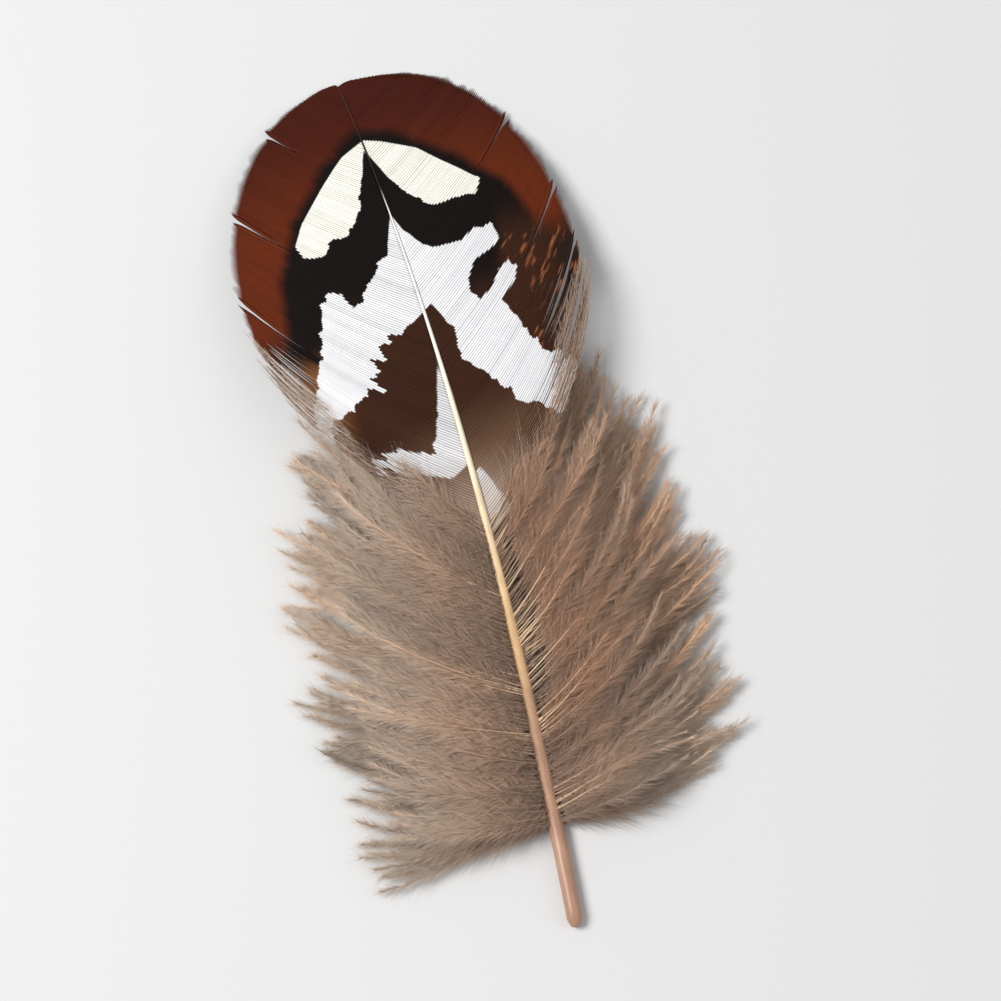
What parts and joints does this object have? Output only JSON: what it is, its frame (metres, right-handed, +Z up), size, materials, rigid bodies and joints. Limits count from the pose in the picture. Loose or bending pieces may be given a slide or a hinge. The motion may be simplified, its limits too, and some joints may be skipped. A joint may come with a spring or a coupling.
{
  "type": "pheasant feather",
  "caption": "Body feather with a curved tapering shaft, a rounded cupped vane and a soft downy base with an afterfeather, lying glossy side up.",
  "frame": {"origin": "the point where the quill rests on the surface, 4 mm in from the quill's end", "axes": "+Y along the shaft towards the tip, +Z up from the surface, +X to the right of the tip seen from above"},
  "size_m": [0.0373, 0.08, 0.0091],
  "materials": {
    "vane": "satin",
    "down": "matte",
    "quill": "satin"
  },
  "bodies": {
    "root": {"feather": "vane"}
  },
  "joints": []
}
